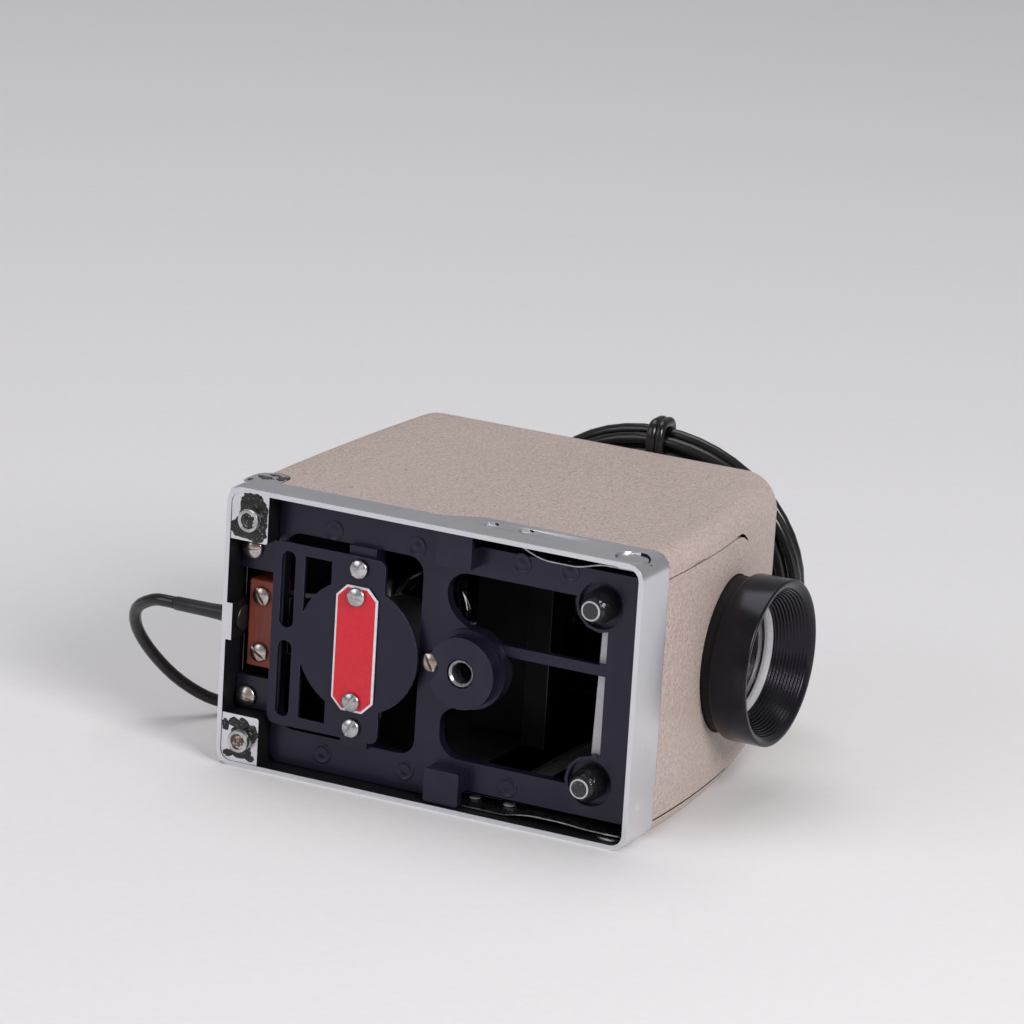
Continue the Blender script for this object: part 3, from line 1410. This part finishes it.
def cut_seam(shell, side, sign, body):
    """The slit beside the front panel, wider along one stretch, with a round end."""
    inset = UPPER_SEAM_INSET if sign > 0 else LOWER_SEAM_INSET
    z = MIDDLE + sign * (MIDDLE - inset)
    start = BAND_FRONT_HEIGHT - CUT_OVERRUN
    back = front_x(BODY_HEIGHT) - SHELL_TOP_RADIUS
    front = BARREL_FRONT
    slit = box((back, start, z - SEAM_WIDTH / 2), (front, SEAM_END, z + SEAM_WIDTH / 2))
    cut(shell, f"seam_{side}", slit, body)
    eye = cylinder("X", (SEAM_END, z), SEAM_EYE_RADIUS, back, front)
    cut(shell, f"seam_eye_{side}", eye, body)
    if sign > 0:
        gape = rounded_rectangle(
            (SEAM_GAPE_START, z - SEAM_GAPE_WIDTH / 2),
            (SEAM_GAPE_END, z + SEAM_GAPE_WIDTH / 2),
            SEAM_GAPE_WIDTH / 3,
        )
        cut(shell, f"seam_gape_{side}", prism(gape, "X", back, front), body)


def cut_top_vents(shell, body):
    """A row of slots over the lamp lets its heat out."""
    reach = (VENT_SLOT_COUNT - 1) * VENT_SLOT_PITCH / 2
    for number in range(VENT_SLOT_COUNT):
        x = LAMP_X - reach + number * VENT_SLOT_PITCH
        slot = rounded_rectangle(
            (x - VENT_SLOT_WIDTH / 2, MIDDLE - VENT_SLOT_LENGTH / 2),
            (x + VENT_SLOT_WIDTH / 2, MIDDLE + VENT_SLOT_LENGTH / 2),
            VENT_SLOT_WIDTH / 2 - SEAT_GAP / 2,
        )
        low, high = BODY_HEIGHT - SHELL_WALL - CUT_OVERRUN, BODY_HEIGHT + CUT_OVERRUN
        cut(shell, f"top_vent_{number}", prism(slot, "Y", low, high), body)


def build_hooks(body, finish):
    """Steel hooks inside the rear wall, each open to the rear round its ear's boss."""
    for side, sign in SIDES:
        outer = EAR_THICKNESS + EAR_BOSS_LENGTH / 2
        low, high = side_levels(sign, outer, outer + HOOK_THICKNESS)
        rear = SHELL_INSET + SHELL_WALL + SEAT_GAP
        shape = box((rear, HOOK_LOW, low), (HOOK_FRONT, HOOK_HIGH, high))
        hook = add_piece(f"shell_hook_{side}", shape, finish, body)
        radius = EAR_BOSS_RADIUS + SEAT_GAP
        mouth = rounded_rectangle(
            (EAR_BOSS_X - radius, HOOK_LOW - CUT_OVERRUN),
            (EAR_BOSS_X + radius, EAR_BOSS_Y + radius),
            radius - SEAT_GAP / 2,
        )
        cut(hook, f"hook_mouth_{side}", prism(mouth, "Z", low - CUT_OVERRUN, high + CUT_OVERRUN), body)


def build_sleeve(body, finish):
    inner = BARREL_NECK_RADIUS + RUNNING_GAP
    outer = inner + SLEEVE_WALL
    profile = (
        (SLEEVE_REAR, outer),
        (BARREL_FRONT, outer),
        (BARREL_FRONT, inner),
        (SLEEVE_REAR, inner),
    )
    shape = lathe(profile, "X", (AXIS_Y, MIDDLE), LENS_SEGMENTS)
    sleeve = add_piece("lens_sleeve", shape, finish, body)
    ahead = [
        (front_x(y) - SHELL_WALL - SHELL_INSET - SEAT_GAP, y)
        for y in np.linspace(BAND_FRONT_HEIGHT, BODY_HEIGHT, SHELL_SECTIONS)
    ]
    ahead += [
        (BARREL_FRONT + CUT_OVERRUN, BODY_HEIGHT),
        (BARREL_FRONT + CUT_OVERRUN, BAND_FRONT_HEIGHT),
    ]
    trim = prism(ahead, "Z", -CUT_OVERRUN, BODY_WIDTH + CUT_OVERRUN)
    cut(sleeve, "sleeve_trim", trim, body)
    return sleeve


# Lens


def hood_profile():
    """Steps of the hood's inner wall, from the glass out to the rim."""
    points = []
    lengths = np.linspace(HOOD_REAR, BARREL_FRONT - HOOD_LIP, HOOD_STEPS + 1)
    radii = np.linspace(HOOD_REAR_RADIUS, HOOD_FRONT_RADIUS, HOOD_STEPS)
    for number, radius in enumerate(radii):
        points.append((lengths[number], radius))
        points.append((lengths[number + 1], radius))
    return points


def build_lens(tube_body, barrel_body, finishes):
    bore = TUBE_RADIUS + RUNNING_GAP
    profile = [
        (BARREL_REAR, bore),
        (BARREL_REAR, BARREL_NECK_RADIUS),
        (BARREL_RING_REAR, BARREL_NECK_RADIUS),
        (BARREL_RING_REAR, BARREL_RADIUS - BARREL_EDGE),
        (BARREL_RING_REAR + BARREL_EDGE, BARREL_RADIUS),
        (BARREL_FRONT - BARREL_EDGE, BARREL_RADIUS),
        (BARREL_FRONT, BARREL_RADIUS - BARREL_EDGE),
        (BARREL_FRONT, HOOD_FRONT_RADIUS + BARREL_EDGE),
    ]
    profile += hood_profile()[::-1]
    profile += [(HOOD_REAR, bore)]
    shape = lathe(profile, "X", (AXIS_Y, MIDDLE), LENS_SEGMENTS)
    add_piece("lens_barrel", shape, finishes["anodised"], barrel_body)
    build_lens_tube(tube_body, finishes)


def build_lens_tube(body, finishes):
    """The tube with a shelf behind the front glass and one before the rear glass."""
    front_seat = TUBE_FRONT - GLASS_THICKNESS
    rear_seat = TUBE_REAR + REAR_GLASS_THICKNESS
    front_bore = GLASS_RADIUS + SEAT_GAP
    rear_bore = REAR_GLASS_RADIUS + SEAT_GAP
    shelf = REAR_GLASS_RADIUS - GLASS_SHELF
    profile = (
        (TUBE_REAR, rear_bore),
        (TUBE_REAR, TUBE_RADIUS),
        (TUBE_FRONT, TUBE_RADIUS),
        (TUBE_FRONT, front_bore),
        (front_seat - SEAT_GAP, front_bore),
        (front_seat - SEAT_GAP, shelf),
        (rear_seat + SEAT_GAP, shelf),
        (rear_seat + SEAT_GAP, rear_bore),
    )
    shape = lathe(profile, "X", (AXIS_Y, MIDDLE), GLASS_SEGMENTS)
    add_piece("lens_tube", shape, finishes["sheet"], body)
    edge = TUBE_FRONT - GLASS_BULGE
    add_glass("lens_glass_front", front_seat, edge, GLASS_BULGE, GLASS_RADIUS, finishes, body)
    add_glass(
        "lens_glass_rear",
        rear_seat,
        TUBE_REAR + GLASS_BULGE,
        -GLASS_BULGE,
        REAR_GLASS_RADIUS,
        finishes,
        body,
    )


def add_glass(name, flat, edge, bulge, radius, finishes, body):
    """A glass with one flat face and one domed face that stands bulge past its edge."""
    profile = [(flat, 0), (flat, radius)]
    for share in np.linspace(1, 0, CORNER_STEPS + 1):
        profile.append((edge + bulge * (1 - share**2), radius * share))
    shape = lathe(profile, "X", (AXIS_Y, MIDDLE), GLASS_SEGMENTS)
    add_piece(name, shape, finishes["glass"], body)


# Lamp, reflector, condenser and slide gate


def build_lamp(body, finishes):
    flange_low = PLATE_FACE + PLATE_THICKNESS + SEAT_GAP
    flange = box(
        (
            LABEL_MIDDLE_X - SOCKET_FLANGE_WIDTH / 2,
            flange_low,
            MIDDLE - SOCKET_FLANGE_LENGTH / 2,
        ),
        (
            LABEL_MIDDLE_X + SOCKET_FLANGE_WIDTH / 2,
            flange_low + SOCKET_FLANGE_THICKNESS,
            MIDDLE + SOCKET_FLANGE_LENGTH / 2,
        ),
    )
    socket = add_piece("lamp_socket", flange, finishes["ceramic"], body)
    barrel = cylinder(
        "Y",
        (LAMP_X, MIDDLE),
        SOCKET_RADIUS,
        flange_low + SEAT_GAP,
        SOCKET_TOP,
        GLASS_SEGMENTS,
    )
    add_to(socket, "socket_barrel", barrel, body)
    bore = cylinder(
        "Y",
        (LAMP_X, MIDDLE),
        SOCKET_BORE_RADIUS,
        SOCKET_FLOOR,
        SOCKET_TOP + CUT_OVERRUN,
        GLASS_SEGMENTS,
    )
    cut(socket, "socket_bore", bore, body)
    for side, sign in SIDES:
        hole = cylinder(
            "Y",
            (PLATE_SCREW_X, MIDDLE + sign * LABEL_SCREW_OFFSET),
            SCREW_HOLE_RADIUS,
            flange_low - CUT_OVERRUN,
            flange_low + CUT_OVERRUN,
        )
        cut(socket, f"socket_hole_{side}", hole, body)
    cap = cylinder(
        "Y", (LAMP_X, MIDDLE), CAP_RADIUS, SOCKET_FLOOR + SEAT_GAP, CAP_TOP, GLASS_SEGMENTS
    )
    add_piece("lamp_cap", cap, finishes["brass"], body)
    foot = CAP_TOP + SEAT_GAP
    profile = [(foot, 0), (foot, BULB_NECK_RADIUS)]
    profile += cap_profile(BULB_SHOULDER, BULB_TOP, BULB_RADIUS, HEAD_EDGE_SHARE / 2, 4)
    shape = lathe(profile, "Y", (LAMP_X, MIDDLE), GLASS_SEGMENTS)
    add_piece("lamp_bulb", shape, finishes["glass"], body)


def build_reflector(body, finishes):
    rear = REFLECTOR_REAR
    shares = np.linspace(0, 1, CORNER_STEPS + 1)
    back = [(rear + REFLECTOR_DEPTH * s**2, REFLECTOR_RADIUS * s) for s in shares]
    front = [(x + REFLECTOR_WALL, r) for x, r in reversed(back)]
    shape = lathe(back + front, "X", (AXIS_Y, MIDDLE), GLASS_SEGMENTS)
    add_piece("lamp_reflector", shape, finishes["mirror"], body)
    bracket = box(
        (
            rear - SEAT_GAP - BRACKET_THICKNESS,
            DECK_DEPTH + SEAT_GAP,
            MIDDLE - BRACKET_WIDTH / 2,
        ),
        (rear - SEAT_GAP, AXIS_Y + BRACKET_WIDTH / 2, MIDDLE + BRACKET_WIDTH / 2),
    )
    add_piece("reflector_bracket", bracket, finishes["sheet"], body)


def build_lamp_house(body, finish):
    """Two cheeks that stand on the deck beside the lamp, with a row of round vents."""
    for side, sign in SIDES:
        low, high = sorted(
            (MIDDLE + sign * (CHEEK_HALF - CHEEK_THICKNESS), MIDDLE + sign * CHEEK_HALF)
        )
        vents = [
            circle((LAMP_X + shift * CHEEK_VENT_PITCH, CHEEK_VENT_Y), CHEEK_VENT_RADIUS)
            for shift in np.arange(CHEEK_VENT_COUNT) - (CHEEK_VENT_COUNT - 1) / 2
        ]
        outline = rectangle((CHEEK_REAR, DECK_DEPTH + SEAT_GAP), (CHEEK_FRONT, CHEEK_HEIGHT))
        shape = prism(outline, "Z", low, high, vents)
        add_piece(f"lamp_house_{side}", shape, finish, body)


def build_condenser(body, finishes):
    bore = CONDENSER_RADIUS + SEAT_GAP
    half = CHEEK_HALF - CHEEK_THICKNESS - SEAT_GAP
    reach = bore + CONDENSER_FRAME_WALL
    shape = prism(
        rectangle((AXIS_Y - reach, MIDDLE - half), (AXIS_Y + reach, MIDDLE + half)),
        "X",
        CONDENSER_FRAME_REAR,
        CONDENSER_FRAME_FRONT,
        [circle((AXIS_Y, MIDDLE), bore, LENS_SEGMENTS)],
    )
    add_piece("condenser_frame", shape, finishes["casting"], body)
    front = HEAT_GLASS_REAR + HEAT_GLASS_THICKNESS
    glass = cylinder(
        "X", (AXIS_Y, MIDDLE), CONDENSER_RADIUS, HEAT_GLASS_REAR, front, GLASS_SEGMENTS
    )
    add_piece("heat_glass", glass, finishes["glass"], body)
    rise = CONDENSER_THICKNESS - CONDENSER_EDGE
    rear_lens = front + 2 * SEAT_GAP
    add_glass(
        "condenser_lens_rear",
        rear_lens,
        rear_lens + CONDENSER_EDGE,
        rise,
        CONDENSER_RADIUS,
        finishes,
        body,
    )
    front_lens = rear_lens + CONDENSER_THICKNESS + SEAT_GAP
    add_glass(
        "condenser_lens_front",
        front_lens + CONDENSER_THICKNESS,
        front_lens + rise,
        -rise,
        CONDENSER_RADIUS,
        finishes,
        body,
    )


def build_gate(body, finish):
    """Two plates with a slot between them, open to the slot in the housing's side."""
    half = SLIDE_SIZE / 2 + SLIDE_PLAY
    shape = box(
        (GATE_REAR, AXIS_Y - half - GATE_RAIL, MIDDLE - GATE_HALF_WIDTH),
        (GATE_REAR + GATE_DEPTH, AXIS_Y + half + GATE_RAIL, MIDDLE + GATE_HALF_WIDTH),
    )
    gate = add_piece("slide_gate", shape, finish, body)
    slot = box(
        (GATE_REAR + GATE_WALL, AXIS_Y - half, MIDDLE - GATE_HALF_WIDTH - CUT_OVERRUN),
        (
            GATE_REAR + GATE_DEPTH - GATE_WALL,
            AXIS_Y + half,
            MIDDLE + GATE_HALF_WIDTH - GATE_RAIL,
        ),
    )
    cut(gate, "gate_slot", slot, body)
    window = GATE_WINDOW / 2
    opening = box(
        (GATE_REAR - CUT_OVERRUN, AXIS_Y - window, MIDDLE - window),
        (GATE_REAR + GATE_DEPTH + CUT_OVERRUN, AXIS_Y + window, MIDDLE + window),
    )
    cut(gate, "gate_window", opening, body)
    return gate


def build_front_strip(body, finish):
    """A bare metal angle behind the deck's front bar."""
    low = DECK_DEPTH + SEAT_GAP
    outline = [
        (STRIP_REAR, low),
        (STRIP_FRONT, low),
        (STRIP_FRONT, low + STRIP_THICKNESS),
        (STRIP_REAR + STRIP_THICKNESS, low + STRIP_THICKNESS),
        (STRIP_REAR + STRIP_THICKNESS, low + STRIP_TURN_UP),
        (STRIP_REAR, low + STRIP_TURN_UP),
    ]
    shape = prism(outline, "Z", MIDDLE - STRIP_HALF, MIDDLE + STRIP_HALF)
    add_piece("front_strip", shape, finish, body)


# Cord


def lean(x, side_step, height):
    """A point of the coil: height up its leaning plane and side_step off it.

    The first layer's foot lies on the floor.
    """
    rise = (height - CORD_RADIUS) * math.cos(COIL_LEAN) + side_step * math.sin(COIL_LEAN)
    y = COIL_FOOT_Y + side_step * math.cos(COIL_LEAN) - height * math.sin(COIL_LEAN)
    return (x, y, COIL_FLOOR_GAP + CORD_RADIUS + rise)


def coil_points():
    """Loops that spiral in beside the housing, climb a layer and spiral out again."""
    turns = COIL_LOOP_COUNT
    count = round(turns * COIL_LOOP_POINTS)
    middle = COIL_HALF_HEIGHT + CORD_RADIUS
    points = []
    for turn in np.linspace(0, turns, count + 1):
        inward = min(turn, turns - turn)
        climb = min(max((turn - turns / 2) * 2 + 1 / 2, 0), 1)
        layer = COIL_LAYER_STEP * (1 - math.cos(math.pi * climb)) / 2
        angle = 2 * math.pi * turn - math.pi / 2
        a = COIL_HALF_LENGTH - COIL_PITCH * inward
        b = COIL_HALF_HEIGHT - COIL_PITCH * inward
        points.append(lean(COIL_X + a * math.cos(angle), layer, middle + b * math.sin(angle)))
    return points


def least_gap(points, radius):
    """The least clear distance between stretches of a tube more than half a loop apart."""
    spots = np.array(points)
    fine = np.vstack([spots[:-1] + (spots[1:] - spots[:-1]) * t for t in (0, 1 / 2)])
    order = np.concatenate([np.arange(len(spots) - 1), np.arange(len(spots) - 1) + 1 / 2])
    away = np.linalg.norm(fine[:, None] - fine[None], axis=2)
    apart = np.abs(order[:, None] - order[None]) > COIL_LOOP_POINTS / 2
    return away[apart].min() - 2 * radius


def extend(point, beyond, distance):
    """A point a distance past point, straight on from beyond."""
    here, there = np.array(point), np.array(beyond)
    return tuple(here + (here - there) / np.linalg.norm(here - there) * distance)


def build_cord(body, finishes):
    rubber = finishes["rubber"]
    build_gland(body, rubber)
    diameter = 2 * CORD_RADIUS
    coil = coil_points()
    first = (coil[0][0] - diameter, *coil[0][1:])
    coil = [first] + coil + [extend(coil[-1], coil[-2], diameter)]
    gap = least_gap(coil, CORD_RADIUS)
    print(f"coil: {len(coil)} points, least gap to itself {gap / MM:.2f} mm")
    add_tube("cord_coil", coil, CORD_RADIUS, 1, rubber, body)
    exit_x = GLAND_END - SEAT_GAP
    start = (exit_x, GLAND_Y, GLAND_Z)
    straight = (exit_x - diameter, GLAND_Y, GLAND_Z)
    end = extend(coil[0], coil[1], SEAT_GAP)
    before = extend(coil[0], coil[1], SEAT_GAP + diameter)
    lead = along_curve((straight, *LEAD_ROUTE, before), LEAD_STEP)
    lead = kept_above(lead, COIL_FLOOR_GAP + CORD_RADIUS)
    add_tube("cord_lead", [start] + lead + [end], CORD_RADIUS, 2, rubber, body)
    start = extend(coil[-1], coil[-2], SEAT_GAP)
    after = extend(coil[-1], coil[-2], SEAT_GAP + diameter)
    plug_start = (PLUG_X - PLUG_NECK_LENGTH - SEAT_GAP, PLUG_Y, PLUG_AXIS_Z)
    near_plug = (plug_start[0] - diameter, PLUG_Y, PLUG_AXIS_Z)
    tail = along_curve((after, *TAIL_ROUTE, near_plug), TAIL_STEP)
    tail = kept_above(tail, COIL_FLOOR_GAP + CORD_RADIUS)
    add_tube("cord_tail", [start] + tail + [plug_start], CORD_RADIUS, 2, rubber, body)
    for name, run in (("lead", lead), ("coil", coil), ("tail", tail)):
        length = sum(math.dist(a, b) for a, b in zip(run, run[1:]))
        print(f"cord {name}: {length / MM:.0f} mm")
    build_tie(body, finishes["sheet"])
    build_plug(body, finishes)


def build_gland(body, finish):
    """A rubber strain relief that tapers away from the frame's rear wall."""
    rear = -SEAT_GAP
    flange = -GLAND_FLANGE_THICKNESS
    tail = BAND_WALL + CORD_LIP_THICKNESS + GLAND_TAIL_LENGTH
    profile = (
        (GLAND_END, 0),
        (GLAND_END, GLAND_NOSE_RADIUS),
        (flange, GLAND_BODY_RADIUS),
        (flange, GLAND_FLANGE_RADIUS),
        (rear, GLAND_FLANGE_RADIUS),
        (rear, GLAND_BODY_RADIUS),
        (tail, GLAND_BODY_RADIUS),
        (tail, 0),
    )
    shape = lathe(profile, "X", (GLAND_Y, GLAND_Z))
    add_piece("cord_gland", shape, finish, body)


def build_tie(body, finish):
    """A strap round the coil's loops at their top."""
    room = CORD_RADIUS + 2 * SEAT_GAP
    crest = COIL_HALF_HEIGHT * 2 + CORD_RADIUS
    loops = COIL_PITCH * COIL_LOOP_COUNT / 2
    inner_low = (-room, crest - loops - room)
    inner_high = (COIL_LAYER_STEP + room, crest + room)
    outer_low = (inner_low[0] - TIE_THICKNESS, inner_low[1] - TIE_THICKNESS)
    outer_high = (inner_high[0] + TIE_THICKNESS, inner_high[1] + TIE_THICKNESS)
    outer = rounded_rectangle(outer_low, outer_high, room + TIE_THICKNESS)
    inner = rounded_rectangle(inner_low, inner_high, room)
    flat, faces = prism(outer, "X", COIL_X - TIE_WIDTH / 2, COIL_X + TIE_WIDTH / 2, [inner])
    points = [lean(x, side_step, height) for x, side_step, height in flat]
    add_piece("cord_tie", (points, faces), finish, body)


def build_plug(body, finishes):
    neck = PLUG_X - PLUG_NECK_LENGTH
    face = PLUG_X + PLUG_LENGTH
    profile = (
        (neck, 0),
        (neck, PLUG_NECK_RADIUS - SEAT_GAP),
        (PLUG_X, PLUG_NECK_RADIUS),
        (PLUG_X + PLUG_NECK_RADIUS, PLUG_RADIUS * PLUG_SHOULDER_SHARE),
        (PLUG_X + PLUG_LENGTH / 2, PLUG_RADIUS * PLUG_WAIST_SHARE),
        (face - PLUG_NECK_RADIUS, PLUG_RADIUS),
        (face, PLUG_RADIUS),
        (face, 0),
    )
    shape = lathe(profile, "X", (PLUG_Y, PLUG_AXIS_Z), GLASS_SEGMENTS // 2)
    add_piece("cord_plug", shape, finishes["rubber"], body)
    for number, sign in enumerate((1, -1)):
        middle = PLUG_Y + sign * BLADE_SPACING
        blade = box(
            (
                face + SEAT_GAP,
                middle - BLADE_THICKNESS / 2,
                PLUG_AXIS_Z - BLADE_HEIGHT / 2,
            ),
            (
                face + SEAT_GAP + BLADE_LENGTH,
                middle + BLADE_THICKNESS / 2,
                PLUG_AXIS_Z + BLADE_HEIGHT / 2,
            ),
        )
        add_piece(f"plug_blade_{number + 1}", blade, finishes["brass"], body)


# The whole projector


def build_projector():
    clear_scene()
    finishes = make_materials()
    root = Body("projector", (0, 0, 0))
    tube = Body("focus_slide", (BARREL_REAR, AXIS_Y, MIDDLE), root)
    barrel = Body("focus_turn", (BARREL_REAR, AXIS_Y, MIDDLE), tube)
    buttons = {
        side: Body(
            f"button_{side}",
            (BUTTON_X, BUTTON_Y, BODY_WIDTH if sign > 0 else 0),
            root,
        )
        for side, sign in SIDES
    }
    build_base_frame(root, finishes["bright"])
    build_deck(root, finishes["casting"])
    build_bush(root, finishes["steel"])
    build_vent_plate(root, finishes["casting"])
    build_label(root, finishes["label"])
    build_screws(root, finishes)
    build_terminal_block(root, finishes["fibre"])
    build_feet(root, finishes)
    build_latches(root, buttons, finishes)
    build_shell(root, finishes["paint"])
    build_hooks(root, finishes["steel"])
    build_sleeve(root, finishes["sheet"])
    build_lens(tube, barrel, finishes)
    build_lamp(root, finishes)
    build_reflector(root, finishes)
    build_lamp_house(root, finishes["sheet"])
    build_condenser(root, finishes)
    build_gate(root, finishes["sheet"])
    build_front_strip(root, finishes["bright"])
    build_cord(root, finishes)


build_projector()
